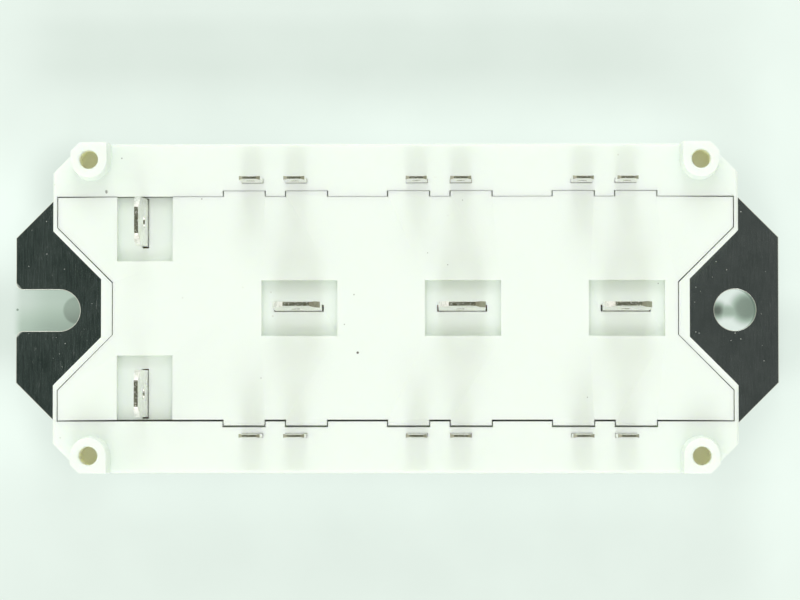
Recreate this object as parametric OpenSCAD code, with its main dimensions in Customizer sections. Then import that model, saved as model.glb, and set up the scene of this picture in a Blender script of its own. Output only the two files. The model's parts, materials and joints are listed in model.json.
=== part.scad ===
// Six-pack power module: three half bridges on ceramic substrates, under one
// moulded frame and lid, on a screw-down nickel-plated copper base plate.
// +Z is up, X runs along the module, and the origin is the centre of the
// base plate's underside.

/* [Base plate] */
// Distance between the two screw places
screw_pitch = 93; // [84:0.5:104]
// Distance from a screw place to the end of the plate
ear_end = 6; // [5:0.1:8]
// Width of the base plate across its long sides
plate_width = 45; // [41:0.5:52]
// Thickness of the base plate
plate_thickness = 3; // [2.5:0.1:4]
// Length of the 45 degree cut at each corner of the plate
plate_corner_cut = 12.5; // [11:0.05:13.5]
// Diameter of the round screw hole, and width of the open slot
screw_hole_dia = 5.7; // [5:0.1:6.2]
// Radius of the two corners at the mouth of the slot
slot_mouth_radius = 1; // [0.5:0.1:1.4]

/* [Frame] */
// Bare plate left outside the frame's foot, along the long sides
frame_inset = 0.02; // [0.02:0.01:0.2]
// Height of the frame's ledges above the base plate
frame_height = 10.5; // [9.5:0.1:12]
// How far each outer side leans in from foot to top
frame_draft = 0.36; // [0.2:0.02:0.4]
// Length of the 45 degree cut at each corner, at the ledges
corner_cut = 3.95; // [3.5:0.05:4.4]
// Small bevel along the frame's outer top edges
edge_bevel = 0.3; // [0.1:0.05:0.5]
// Thickness of the long outer walls, beside the substrates
frame_wall = 1.5; // [1.2:0.1:1.8]
// Share of the frame's half width taken by the ledge of the control tabs
ledge_share = 0.3156; // [0.295:0.0001:0.325]
// Thickness of the ledges
ledge_thickness = 2; // [1.6:0.1:2.6]
// Thickness of the inner edge of a ledge, turned down beside the lid
apron_thickness = 1; // [0.8:0.05:1.2]
// Height of that turned-down edge
apron_height = 5; // [4:0.1:5.5]
// Distance from a screw place to the inner end of its notch
head_room = 6.95; // [6:0.05:7.5]
// How far the notch reaches in from the end of the ledges
notch_depth = 6.5; // [6:0.1:7]
// Width of the notch at its inner end; its sides open at 45 degrees
notch_floor = 7.8; // [7:0.1:9]
// Thickness of the frame's rim at the straight ends
end_rim = 0.55; // [0.5:0.05:0.7]
// Thickness of the rim along the slanted sides of a notch
slope_rim = 0.75; // [0.65:0.05:0.9]
// Thickness of the rim at the inner end of a notch
notch_rim = 1.45; // [1.3:0.05:1.6]
// Width of the step round the ends, which the lid rests on
lid_step = 1; // [0.7:0.05:1.05]

/* [Corner bosses] */
// Distance from the end of the ledges to a boss hole, along X
boss_inset_x = 5.15; // [5:0.05:5.6]
// Distance from the side of the ledges to a boss hole, along Y
boss_inset_y = 2.32; // [2.1:0.02:2.6]
// Radius of a boss at its foot
boss_radius = 2.65; // [2.4:0.05:3]
// How much narrower a boss is at its top, on the radius
boss_draft = 0.25; // [0.1:0.05:0.4]
// Wall between a boss and the room beside it
boss_wall = 1; // [0.8:0.05:1.1]
// Height of a boss above the ledge
boss_height = 3.5; // [2.5:0.1:5]
// Diameter of the blind hole for a board screw
boss_hole_dia = 2.5; // [2:0.1:3]
// Depth of the blind hole
boss_hole_depth = 4; // [3:0.5:9]
// Bevel at the mouth of the blind hole
boss_hole_bevel = 0.2; // [0.1:0.05:0.4]

/* [Lid] */
// Thickness of the lid plate
lid_thickness = 1.8; // [1.4:0.1:2]
// Gap between lid and rim at the ends
lid_end_gap = 0.12; // [0.1:0.02:0.25]
// Gap between lid and ledge on the long sides, with the lid centred
lid_side_gap = 0.15; // [0.12:0.01:0.3]
// How far the lid sits off the centre of its opening, towards +Y
lid_shift = 0.1; // [0:0.01:0.11]
// How far the opening sits off the centre of the frame, towards -Y
opening_shift = 0.1; // [0:0.01:0.12]
// Width of a locating tongue
tongue_width = 5.5; // [5:0.1:6.2]
// Reach of a tongue over the ledge
tongue_reach = 0.77; // [0.6:0.01:0.9]
// Thickness of a tongue
tongue_thickness = 1; // [0.8:0.05:1.2]
// Distance between the two tongues of a pair, centre to centre
tongue_pitch = 8.4; // [7.6:0.05:9.4]
// How far the tongues sit off their half bridge, towards +X
tongue_shift = 0.13; // [0:0.01:0.2]

/* [Pits] */
// Room in a pit beyond each end of an output tab
pit_end_room = 1.95; // [1.6:0.05:2.1]
// How far the output pits sit off their tabs, towards +X
pit_shift = 0.12; // [0:0.01:0.15]
// Size of any pit across its tab
pit_width = 7.5; // [6.8:0.1:8]
// Depth of the pits
pit_depth = 1.2; // [1:0.1:2]
// Thickness of the pit walls
pit_wall = 0.75; // [0.6:0.05:0.8]
// Thickness of the pit floors
pit_floor = 1.5; // [1.2:0.1:1.6]
// Room in a supply pit, between the tab and the pit's inner end
supply_pit_room = 2; // [1.8:0.1:2.2]

/* [Power tabs] */
// Width of a power tab
tab_width = 6.3; // [5.7:0.1:7]
// Thickness of a power tab
tab_thickness = 0.8; // [0.7:0.05:0.9]
// Height of all tab tips above the ledges
tab_height = 7; // [6.3:0.1:9]
// Length of the 45 degree cut at each side of a power tab's tip
tab_tip_cut = 1.4; // [1:0.05:1.6]
// Length of the thinned lead-in at a power tab's tip
tab_lead = 0.7; // [0.5:0.1:1]
// How far each face of a power tab is cut back at its tip
tab_lead_cut = 0.13; // [0.08:0.01:0.18]
// Diameter of the detent hole in a power tab
tab_hole_dia = 1.65; // [1.4:0.05:1.9]
// Distance from a power tab's tip to its detent hole
tab_hole_drop = 4.3; // [3.8:0.1:4.9]
// Width of the narrowed stem inside the module
tab_waist = 4.2; // [3.7:0.1:4.8]
// Length of the soldered foot, from the stem's middle
tab_foot = 2; // [1.8:0.1:2.3]
// Inner bend radius between stem and foot
tab_bend = 0.4; // [0.3:0.05:0.5]
// Gap between a power tab and its slot, each side across its thickness
tab_gap = 0.06; // [0.05:0.01:0.12]
// Gap between a power tab and its slot at each end
tab_end_gap = 0.2; // [0.1:0.05:0.3]
// Distance of an output tab from the middle of its half bridge, along X
output_offset = 3.12; // [2.8:0.01:3.5]
// How much closer together the output tabs are than the half bridges
output_closer = 0.12; // [0.1:0.01:0.3]
// Angle by which the output tabs lean towards +Y
output_lean = 2.2; // [0:0.1:2.5]
// Distance of the supply tabs from the middle of their substrate, towards -X
supply_offset = 0.49; // [0.4:0.01:0.7]
// Distance between a supply tab and the long side of the lid
supply_edge = 0.35; // [0.3:0.05:0.4]
// Angle by which the supply tabs lean towards -X
supply_lean = 3; // [0:0.1:3.3]

/* [Control tabs] */
// Width of a control tab
pin_width = 2.8; // [2.5:0.05:3.1]
// Thickness of a control tab
pin_thickness = 0.5; // [0.4:0.05:0.6]
// Length of the 45 degree cut at each side of a control tab's tip
pin_tip_cut = 0.5; // [0.3:0.05:0.7]
// Length of the thinned lead-in at a control tab's tip
pin_lead = 0.5; // [0.3:0.1:0.7]
// How far each face of a control tab is cut back at its tip
pin_lead_cut = 0.08; // [0.05:0.01:0.12]
// Diameter of the detent hole in a control tab
pin_hole_dia = 1.2; // [1:0.05:1.4]
// Distance from a control tab's tip to its detent hole
pin_hole_drop = 3; // [2.6:0.1:3.4]
// Width of the narrowed stem inside the module
pin_waist = 1.8; // [1.5:0.1:2.1]
// Length of the soldered foot, from the stem's middle
pin_foot = 1.25; // [1.1:0.05:1.3]
// Gap between a control tab and its slot, all round
pin_gap = 0.05; // [0.04:0.01:0.12]
// Distance of the control tabs from the inner edge of their ledge
pin_inset = 1.95; // [1.75:0.05:2.1]
// Distance between the two control tabs of one switch
pin_pitch = 5.9; // [5.4:0.1:6.6]

/* [Half bridges] */
// Width of a bridge substrate along X
substrate_width = 17; // [16:0.1:18.5]
// Width of the supply substrate along X
supply_substrate_width = 6.7; // [6.2:0.1:7.4]
// Gap between the end substrates and the frame's notches
substrate_end_gap = 0.57; // [0.4:0.01:0.7]
// Gap between the substrates and the frame's long walls
substrate_side_gap = 0.9; // [0.6:0.1:1.4]
// Thickness of the ceramic
ceramic_thickness = 0.64; // [0.3:0.02:0.8]
// Thickness of the copper on both sides of the ceramic
copper_thickness = 0.3; // [0.2:0.05:0.4]
// Bare ceramic left round the copper
copper_margin = 0.6; // [0.4:0.05:0.7]
// Etched gap between neighbouring tracks
track_gap = 0.6; // [0.4:0.05:0.8]
// Width of the minus track
minus_width = 2; // [1.7:0.1:2.3]
// Distance from the control tabs to the inner edge of their pads
pad_reach = 2; // [1.9:0.05:2.2]
// Width of a control pad
pad_width = 3.4; // [3.2:0.1:3.8]
// Edge of the plus track nearest the centre line
plus_start = 4.2; // [4:0.05:4.6]

/* [Chips] */
// Side of a transistor chip
igbt_side = 5.5; // [5:0.1:6.2]
// Side of a diode chip
diode_side = 4; // [3.6:0.1:4.5]
// Gap between the two chips of one switch
chip_gap = 1.5; // [1.3:0.1:1.7]
// Thickness of the chips
chip_thickness = 0.3; // [0.2:0.05:0.4]

/* [Bond wires] */
// Diameter of the power wires
wire_dia = 0.38; // [0.3:0.02:0.44]
// Diameter of the control wires
signal_wire_dia = 0.2; // [0.15:0.01:0.25]
// Distance between neighbouring power wires
wire_pitch = 1.1; // [1:0.05:1.25]
// Distance between neighbouring wires on the minus track
minus_wire_pitch = 0.66; // [0.6:0.02:0.8]
// Height of a power wire's arch
wire_rise = 1.5; // [1.3:0.1:1.7]
// Height of a control wire's arch
signal_rise = 1.1; // [0.9:0.1:1.3]
// Distance of a power wire's landing from the edge of its track
wire_landing = 1; // [0.8:0.05:1.2]
// Distance of a link wire's landing from the edge of its track
link_landing = 0.5; // [0.4:0.05:0.6]
// Distance of a control wire's landing from the edge of its pad
signal_landing = 0.35; // [0.25:0.05:0.4]

/* [Gel] */
// Depth of the silicone gel above the tracks
gel_depth = 3; // [2.8:0.1:3.2]
// Free space kept round chips, wires and stems in the gel
gel_gap = 0.2; // [0.1:0.05:0.3]

/* [Hidden] */
$fn = 48;
cut = 0.01;
bend_steps = 5;
sides = [-1, 1];
phases = [0, 1, 2];

// Heights
frame_foot = plate_thickness;
ledge_top = frame_foot + frame_height;
boss_top = ledge_top + boss_height;
tip_z = ledge_top + tab_height;
step_z = ledge_top - lid_thickness;
apron_z = ledge_top - apron_height;
pit_floor_z = ledge_top - pit_depth;
pit_under_z = pit_floor_z - pit_floor;
ceramic_z = plate_thickness + copper_thickness;
track_z = ceramic_z + ceramic_thickness;
track_top = track_z + copper_thickness;
chip_top = track_top + chip_thickness;
gel_top = track_top + gel_depth;

// Half sizes of the frame at its ledges, of its opening, of the lid in the
// opening, and of the room under the lid
plate_x = screw_pitch / 2 + ear_end;
notch_x = screw_pitch / 2 - head_room;
rim_x = notch_x + notch_depth;
rim_y = plate_width / 2 - frame_inset - frame_draft;
foot_x = rim_x + frame_draft;
foot_y = rim_y + frame_draft;
opening_x = rim_x - end_rim;
opening_y = rim_y * (1 - ledge_share);
opening_notch_x = notch_x - notch_rim;
opening_notch_y = notch_floor / 2 - notch_rim + slope_rim * sqrt(2);
lid_x = opening_x - lid_end_gap;
lid_y = opening_y - lid_side_gap;
lid_offset = lid_shift - opening_shift;
lid_notch_x = opening_notch_x - lid_end_gap;
lid_notch_y = opening_notch_y + lid_end_gap * (sqrt(2) - 1);
cavity_x = opening_x - lid_step;
cavity_y = foot_y - frame_wall;
cavity_notch_x = opening_notch_x - lid_step;
cavity_notch_y = opening_notch_y + lid_step * (sqrt(2) - 1);

boss_x = rim_x - boss_inset_x;
boss_y = rim_y - boss_inset_y;
channel_x = boss_x - boss_radius - boss_wall;
channel_y = opening_y + apron_thickness;
pin_y = opening_y + pin_inset;

// The four substrates share the length between the notches, evenly spaced
row_x = cavity_notch_x - substrate_end_gap;
substrate_length = 2 * (cavity_y - substrate_side_gap);
substrate_gap = (2 * row_x - supply_substrate_width - 3 * substrate_width) / 3;
bridge_pitch = substrate_width + substrate_gap;
supply_substrate_x = supply_substrate_width / 2 - row_x;
supply_x = supply_substrate_x - supply_offset;
supply_y = lid_y - supply_edge - tab_width / 2;
supply_pit_reach = pit_width / 2 + pit_wall - supply_x - cavity_notch_x;
supply_pit_start = max(
    supply_y - tab_width / 2 - supply_pit_room,
    cavity_notch_y + supply_pit_reach + pit_wall
);
pit_length = tab_width + 2 * pit_end_room;

track_edge_x = substrate_width / 2 - copper_margin;
track_edge_y = substrate_length / 2 - copper_margin;
supply_edge_x = supply_substrate_width / 2 - copper_margin;
pad_start = pin_y - pad_reach;
plus_end = pad_start - track_gap;
minus_outer = plus_end;
minus_inner = minus_outer - minus_width;
phase_low = minus_inner - track_gap;
phase_high = plus_start - track_gap;
igbt_x = -(chip_gap + diode_side) / 2;
diode_x = (chip_gap + igbt_side) / 2;
high_y = (plus_start + plus_end) / 2;
low_y = (tab_foot + phase_low) / 2;

// ---------------------------------------------------------------- outlines

function bridge_at(phase) = row_x - substrate_width / 2 - (2 - phase) * bridge_pitch;
function output_at(phase) = bridge_at(phase) + output_offset - (phase - 1) * output_closer;

// Points of an arc, from angle a to angle b
function arc(centre, radius, a, b) =
    [for (i = [0:bend_steps]) let (t = a + (b - a) * i / bend_steps)
        centre + radius * [cos(t), sin(t)]];

// A long octagon-like outline with a 45 degree notch in each end. end_x and
// side_y are its half sizes, floor_x and floor_y the notch's inner end.
function waisted(end_x, side_y, floor_x, floor_y, corner = 0) =
    let (
        mouth_y = floor_y + end_x - floor_x,
        upper = corner > 0
            ? [[end_x, side_y - corner], [end_x - corner, side_y]]
            : [[end_x, side_y]],
        right = concat([[floor_x, 0], [floor_x, floor_y], [end_x, mouth_y]], upper),
        left = [for (i = [len(right) - 1:-1:0]) [-right[i][0], right[i][1]]],
        top = concat(right, left)
    )
    concat(top, [for (i = [len(top) - 2:-1:1]) [top[i][0], -top[i][1]]]);

module slab(low, high) {
    translate([0, 0, low]) linear_extrude(high - low) children();
}

module block(x, y, z) {
    translate([x[0], y[0], z[0]]) cube([x[1] - x[0], y[1] - y[0], z[1] - z[0]]);
}

// -------------------------------------------------------------- base plate

module slot_outline() {
    mouth_x = -plate_x;
    slot_x = -screw_pitch / 2;
    half = screw_hole_dia / 2;
    flare = slot_mouth_radius;
    translate([slot_x, 0]) circle(half);
    translate([mouth_x - cut, -half]) square([slot_x - mouth_x + cut, screw_hole_dia]);
    for (side = sides)
        difference() {
            translate([mouth_x - cut, side > 0 ? half - cut : -half - flare])
                square([flare + cut, flare + cut]);
            translate([mouth_x + flare, side * (half + flare)]) circle(flare);
        }
}

module base_plate() {
    end = [plate_x, plate_width / 2 - plate_corner_cut];
    shoulder = [plate_x - plate_corner_cut, plate_width / 2];
    color("slategray")
    difference() {
        slab(0, plate_thickness)
            polygon([for (q = [[1, 1], [-1, 1], [-1, -1], [1, -1]])
                for (p = q[0] * q[1] > 0 ? [end, shoulder] : [shoulder, end])
                [q[0] * p[0], q[1] * p[1]]]);
        slab(-cut, plate_thickness + cut) slot_outline();
        translate([screw_pitch / 2, 0, -cut])
            cylinder(d = screw_hole_dia, h = plate_thickness + 2 * cut);
    }
}

// ------------------------------------------------------------------- frame

module frame_outline() {
    polygon(waisted(foot_x, foot_y, notch_x, notch_floor / 2, corner_cut + 2 * frame_draft));
}

// Section of the drafted outside, with bevelled top edges
module drafted_section(foot) {
    top = foot - frame_draft;
    low = top + frame_draft * edge_bevel / frame_height;
    polygon([
        [-foot, frame_foot], [foot, frame_foot],
        [low, ledge_top - edge_bevel], [top - edge_bevel, ledge_top],
        [edge_bevel - top, ledge_top], [-low, ledge_top - edge_bevel]
    ]);
}

module frame_body() {
    intersection() {
        slab(frame_foot, ledge_top) frame_outline();
        rotate([90, 0, 90])
            linear_extrude(3 * foot_x, center = true) drafted_section(foot_y);
        rotate([90, 0, 0])
            linear_extrude(3 * foot_y, center = true) drafted_section(foot_x);
    }
}

// Round inside, run out square to the frame's side, and narrower at the top
module bosses() {
    low = boss_radius;
    top = boss_radius - boss_draft;
    intersection() {
        for (sx = sides, sy = sides)
            translate([sx * boss_x, sy * boss_y, 0]) {
                slab(step_z, ledge_top) circle(low);
                translate([0, 0, ledge_top]) cylinder(r1 = low, r2 = top, h = boss_height);
                rotate([90, 0, sy > 0 ? 180 : 0])
                    linear_extrude(foot_y)
                        polygon([
                            [-low, step_z], [low, step_z], [low, ledge_top],
                            [top, boss_top], [-top, boss_top], [-low, ledge_top]
                        ]);
            }
        slab(step_z, boss_top)
            polygon(waisted(rim_x, rim_y, notch_x, notch_floor / 2, corner_cut));
    }
}

module boss_holes() {
    for (sx = sides, sy = sides)
        translate([sx * boss_x, sy * boss_y, 0]) {
            translate([0, 0, boss_top - boss_hole_depth])
                cylinder(d = boss_hole_dia, h = boss_hole_depth + cut);
            translate([0, 0, boss_top - boss_hole_bevel])
                cylinder(
                    d1 = boss_hole_dia, d2 = boss_hole_dia + 2 * boss_hole_bevel,
                    h = boss_hole_bevel
                );
        }
}

// The room inside, wide over the substrates and narrow between the aprons
module frame_room() {
    slab(frame_foot - cut, step_z)
        polygon(waisted(cavity_x, opening_y, cavity_notch_x, cavity_notch_y));
    slab(step_z - cut, ledge_top + cut)
        translate([0, -opening_shift])
            polygon(waisted(opening_x, opening_y, opening_notch_x, opening_notch_y));
    block([-channel_x, channel_x], [-cavity_y, cavity_y], [frame_foot - cut, apron_z]);
    for (side = sides)
        block(
            [-channel_x, channel_x],
            side > 0 ? [channel_y, cavity_y] : [-cavity_y, -channel_y],
            [apron_z - cut, ledge_top - ledge_thickness]
        );
}

module tongue_places() {
    for (phase = phases, side = sides, half = sides)
        translate([bridge_at(phase) + tongue_shift + half * tongue_pitch / 2, side * lid_y])
            children();
}

module tongue_pockets() {
    width = tongue_width + 2 * lid_side_gap;
    depth = tongue_reach + lid_side_gap;
    slab(ledge_top - tongue_thickness, ledge_top + cut)
        translate([0, -opening_shift])
            tongue_places()
                translate([-width / 2, -depth]) square([width, 2 * depth]);
}

module pin_places() {
    for (phase = phases, side = sides, half = sides)
        translate([bridge_at(phase) + half * pin_pitch / 2, side * pin_y, 0])
            children();
}

module frame() {
    color("ivory")
    difference() {
        union() {
            frame_body();
            bosses();
        }
        frame_room();
        tongue_pockets();
        boss_holes();
        pin_places()
            block(
                [-pin_width / 2 - pin_gap, pin_width / 2 + pin_gap],
                [-pin_thickness / 2 - pin_gap, pin_thickness / 2 + pin_gap],
                [ledge_top - ledge_thickness - cut, ledge_top + cut]
            );
    }
}

// --------------------------------------------------------------------- lid

module lid_plate() {
    translate([0, lid_offset]) {
        slab(step_z, ledge_top)
            polygon(waisted(lid_x, lid_y, lid_notch_x, lid_notch_y));
        slab(ledge_top - tongue_thickness, ledge_top)
            tongue_places()
                translate([-tongue_width / 2, -tongue_reach])
                    square([tongue_width, 2 * tongue_reach]);
    }
}

module output_pit(grow) {
    translate([pit_shift, 0])
        square([pit_length + 2 * grow, pit_width + 2 * grow], center = true);
}

// Open at the lid's long side, where the frame's apron closes it
module supply_pit(side, grow) {
    start = supply_pit_start - grow;
    stop = lid_y + (grow > 0 ? side * lid_offset : pit_wall);
    translate([-pit_width / 2 - grow, side > 0 ? start : -stop])
        square([pit_width + 2 * grow, stop - start]);
}

module all_pits(grow) {
    for (phase = phases)
        translate([output_at(phase), 0]) output_pit(grow);
    for (side = sides)
        translate([supply_x, 0]) supply_pit(side, grow);
}

module tab_slots() {
    thick = tab_thickness + 2 * tab_gap;
    long = tab_width + 2 * tab_end_gap;
    for (phase = phases)
        translate([output_at(phase), 0]) square([long, thick], center = true);
    for (side = sides)
        translate([supply_x, side * supply_y]) square([thick, long], center = true);
}

module lid() {
    color("ivory")
    difference() {
        union() {
            lid_plate();
            slab(pit_under_z, step_z + cut) all_pits(pit_wall);
        }
        slab(pit_floor_z, ledge_top + cut) all_pits(0);
        slab(pit_under_z - cut, pit_floor_z + cut) tab_slots();
    }
}

// --------------------------------------------------------------- terminals

// Side view of a folded blade: foot, bend, stem, and the blade above the
// slot, which may lean back by an angle and is thinned at its tip by the
// lead, [length, cut on each face]
module fold_profile(thickness, foot, bend, low, slot, tip, lean, lead) {
    t = thickness / 2;
    thin = t - lead[1];
    top = [-(tip - slot) * tan(lean), tip];
    neck = [-(tip - lead[0] - slot) * tan(lean), tip - lead[0]];
    inner = [t + bend, low + thickness + bend];
    polygon(concat(
        [[foot, low], [foot, low + thickness]],
        arc(inner, bend, 270, 180),
        [[t, slot], neck + [t, 0], top + [thin, 0]],
        [top - [thin, 0], neck - [t, 0], [-t, slot]],
        arc(inner, bend + thickness, 180, 270)
    ));
}

// Front view of a blade: wide foot, narrowed stem, full blade, cut tip
module blade_outline(width, waist, low, waist_low, waist_high, tip, tip_cut) {
    w = width / 2;
    n = waist / 2;
    half = [
        [w, low - cut], [w, waist_low], [n, waist_low + w - n],
        [n, waist_high - w + n], [w, waist_high], [w, tip - tip_cut], [w - tip_cut, tip + cut]
    ];
    polygon(concat(half, [for (i = [len(half) - 1:-1:0]) [-half[i][0], half[i][1]]]));
}

// The foot points along +Y and the blade leans towards -Y
module power_terminal(lean) {
    waist_low = track_top + tab_thickness;
    waist_high = pit_under_z - gel_gap;
    reach = tab_foot + tab_width;
    color("lightgray")
    difference() {
        intersection() {
            rotate([90, 0, 90])
                linear_extrude(tab_width, center = true)
                    fold_profile(
                        tab_thickness, tab_foot, tab_bend, track_top,
                        pit_floor_z - pit_floor / 2, tip_z, lean,
                        [tab_lead, tab_lead_cut]
                    );
            rotate([90, 0, 0])
                linear_extrude(2 * reach, center = true)
                    blade_outline(
                        tab_width, tab_waist, track_top, waist_low, waist_high,
                        tip_z, tab_tip_cut
                    );
        }
        translate([0, 0, tip_z - tab_hole_drop]) rotate([90, 0, 0])
            cylinder(d = tab_hole_dia, h = reach, center = true);
    }
}

// The foot points along +Y
module control_terminal() {
    waist_low = track_top + pin_thickness;
    waist_high = ledge_top - ledge_thickness - gel_gap;
    reach = pin_foot + pin_width;
    color("lightgray")
    difference() {
        intersection() {
            rotate([90, 0, 90])
                linear_extrude(pin_width, center = true)
                    fold_profile(
                        pin_thickness, pin_foot, pin_thickness / 2, track_top,
                        ledge_top - ledge_thickness / 2, tip_z, 0,
                        [pin_lead, pin_lead_cut]
                    );
            rotate([90, 0, 0])
                linear_extrude(2 * reach, center = true)
                    blade_outline(
                        pin_width, pin_waist, track_top, waist_low, waist_high,
                        tip_z, pin_tip_cut
                    );
        }
        translate([0, 0, tip_z - pin_hole_drop]) rotate([90, 0, 0])
            cylinder(d = pin_hole_dia, h = reach, center = true);
    }
}

module output_terminal(phase) {
    translate([output_at(phase), 0, 0]) rotate(180) power_terminal(output_lean);
}

module supply_terminal(side) {
    translate([supply_x, side * supply_y, 0]) rotate(-90) power_terminal(supply_lean);
}

// Switches 1, 3, 5 are the high sides of U, V, W and 2, 4, 6 the low sides
function phase_of(number) = floor((number - 1) / 2);
function side_of(number) = number % 2 == 1 ? 1 : -1;

module gate(number) {
    side = side_of(number);
    translate([bridge_at(phase_of(number)) - pin_pitch / 2, side * pin_y, 0])
        rotate(side > 0 ? 180 : 0) control_terminal();
}

module emitter(number) {
    side = side_of(number);
    translate([bridge_at(phase_of(number)) + pin_pitch / 2, side * pin_y, 0])
        rotate(side > 0 ? 180 : 0) control_terminal();
}

// -------------------------------------------------------------- substrates

module substrate_layer(x, width, low, high, margin) {
    slab(low, high)
        translate([x, 0])
            square([width - 2 * margin, substrate_length - 2 * margin], center = true);
}

module bridge_ceramic(phase) {
    color("snow")
        substrate_layer(bridge_at(phase), substrate_width, ceramic_z, track_z, 0);
}

module bridge_under(phase) {
    color("peru")
        substrate_layer(
            bridge_at(phase), substrate_width, plate_thickness, ceramic_z, copper_margin
        );
}

module supply_ceramic() {
    color("snow")
        substrate_layer(supply_substrate_x, supply_substrate_width, ceramic_z, track_z, 0);
}

module supply_under() {
    color("peru")
        substrate_layer(
            supply_substrate_x, supply_substrate_width, plate_thickness, ceramic_z,
            copper_margin
        );
}

module track(x, y) {
    translate([x[0], y[0]]) square([x[1] - x[0], y[1] - y[0]]);
}

// Plus track, phase track, minus track and the four control pads
module bridge_tracks(phase) {
    edge = track_edge_x;
    color("peru")
    slab(track_z, track_top)
        translate([bridge_at(phase), 0]) {
            track([-edge, edge], [plus_start, plus_end]);
            track([-edge, edge], [-phase_low, phase_high]);
            track([-edge, edge], [-minus_outer, -minus_inner]);
            for (side = sides, half = sides)
                translate([half * pin_pitch / 2, 0])
                    track(
                        [-pad_width / 2, pad_width / 2],
                        side > 0 ? [pad_start, track_edge_y] : [-track_edge_y, -pad_start]
                    );
        }
}

module supply_tracks() {
    edge = supply_edge_x;
    color("peru")
    slab(track_z, track_top)
        translate([supply_substrate_x, 0])
            for (side = sides)
                track(
                    [-edge, edge],
                    side > 0 ? [track_gap / 2, track_edge_y] : [-track_edge_y, -track_gap / 2]
                );
}

// ------------------------------------------------------------------- chips

function chip_y(side) = side > 0 ? high_y : -low_y;

module chip(number, x, edge) {
    translate([bridge_at(phase_of(number)) + x, chip_y(side_of(number))])
        square(edge, center = true);
}

module igbt(number) {
    color("dimgray") slab(track_top, chip_top) chip(number, igbt_x, igbt_side);
}

module diode(number) {
    color("gray") slab(track_top, chip_top) chip(number, diode_x, diode_side);
}

// -------------------------------------------------------------- bond wires

// A wire arched in a circle from a to b, points [x, y, z] on the surfaces
// that it lands on; its ends are cut flush with them
module wire(a, b, dia, rise) {
    run = [b[0] - a[0], b[1] - a[1]];
    span = norm(run);
    radius = (span * span / 4 + rise * rise) / (2 * rise);
    high = max(a[2], b[2]) + rise + dia;
    translate([a[0], a[1], 0]) rotate(atan2(run[1], run[0]))
    intersection() {
        translate([span / 2, 0, a[2] + rise - radius]) rotate([90, 0, 0])
            rotate_extrude() translate([radius, 0]) circle(d = dia);
        union() {
            block([-dia, span / 2], [-dia, dia], [a[2], high]);
            block([span / 2 - cut, span + 2 * dia], [-dia, dia], [b[2], high]);
        }
    }
}

// A row of wires side by side, spaced by the vector across
module wire_row(count, a, b, across) {
    for (i = [0:count - 1]) {
        shift = (i - (count - 1) / 2) * across;
        wire(a + shift, b + shift, wire_dia, wire_rise);
    }
}

module signal_wires(side, x) {
    start = side * ((side > 0 ? high_y : low_y) + igbt_side / 2 - wire_landing);
    landing = side * (pad_start + signal_landing);
    for (half = sides) {
        chip_x = x + igbt_x + half * wire_pitch;
        pad_x = x + half * (pin_pitch / 2 - (half > 0 ? wire_landing : 0));
        wire(
            [chip_x, start, chip_top], [pad_x, landing, track_top],
            signal_wire_dia, signal_rise
        );
    }
}

module bridge_wires(phase) {
    x = bridge_at(phase);
    along_x = [wire_pitch, 0, 0];
    from_high = [0, high_y - wire_landing, chip_top];
    to_phase = [0, phase_high - wire_landing, track_top];
    from_low = [0, -low_y - wire_landing, chip_top];
    to_minus = [0, -minus_inner - wire_landing, track_top];
    color("silver") {
        for (group = [[igbt_x, 4], [diode_x, 3]]) {
            place = [x + group[0], 0, 0];
            wire_row(group[1], from_high + place, to_phase + place, along_x);
            wire_row(group[1], from_low + place, to_minus + place, along_x);
        }
        for (side = sides) signal_wires(side, x);
    }
}

// Links from the supply tracks to the first bridge and from bridge to bridge
module link_wires() {
    plus_link = [4, high_y, [0, wire_pitch, 0]];
    minus_link = [2, -(minus_inner + minus_outer) / 2, [0, minus_wire_pitch, 0]];
    landing = track_edge_x - link_landing;
    starts = [
        supply_substrate_x + supply_edge_x - link_landing,
        bridge_at(0) + landing,
        bridge_at(1) + landing
    ];
    color("silver")
    for (phase = phases) {
        start = starts[phase];
        stop = bridge_at(phase) - landing;
        for (link = [plus_link, minus_link])
            wire_row(
                link[0], [start, link[1], track_top], [stop, link[1], track_top], link[2]
            );
    }
}

// --------------------------------------------------------------------- gel

// The potted layer, with the room of chips, wires and stems left free
module gel() {
    wire_room = chip_top + wire_rise + wire_dia / 2 + gel_gap;
    color("lightcyan", 0.6)
    difference() {
        slab(track_top, gel_top) {
            polygon(waisted(cavity_x, opening_y, cavity_notch_x, cavity_notch_y));
            square([2 * channel_x, 2 * cavity_y], center = true);
        }
        for (phase = phases) {
            x = bridge_at(phase);
            block(
                [x - track_edge_x, x + track_edge_x], [-track_edge_y, track_edge_y],
                [track_top - cut, wire_room]
            );
            translate([output_at(phase), 0, 0])
                block(
                    [-tab_width / 2 - gel_gap, tab_width / 2 + gel_gap],
                    [-tab_thickness - gel_gap, tab_thickness + gel_gap],
                    [track_top, gel_top + cut]
                );
        }
        block(
            [supply_substrate_x - supply_edge_x, bridge_at(2)],
            [-track_edge_y, track_edge_y], [track_top - cut, wire_room]
        );
        for (side = sides)
            translate([supply_x, side * supply_y, 0])
                block(
                    [-tab_thickness - gel_gap, tab_thickness + gel_gap],
                    [-tab_width / 2 - gel_gap, tab_width / 2 + gel_gap],
                    [track_top, gel_top + cut]
                );
        pin_places()
            block(
                [-pin_width / 2 - gel_gap, pin_width / 2 + gel_gap],
                [-pin_thickness / 2 - gel_gap, pin_thickness / 2 + gel_gap],
                [track_top - cut, gel_top + cut]
            );
    }
}

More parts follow.
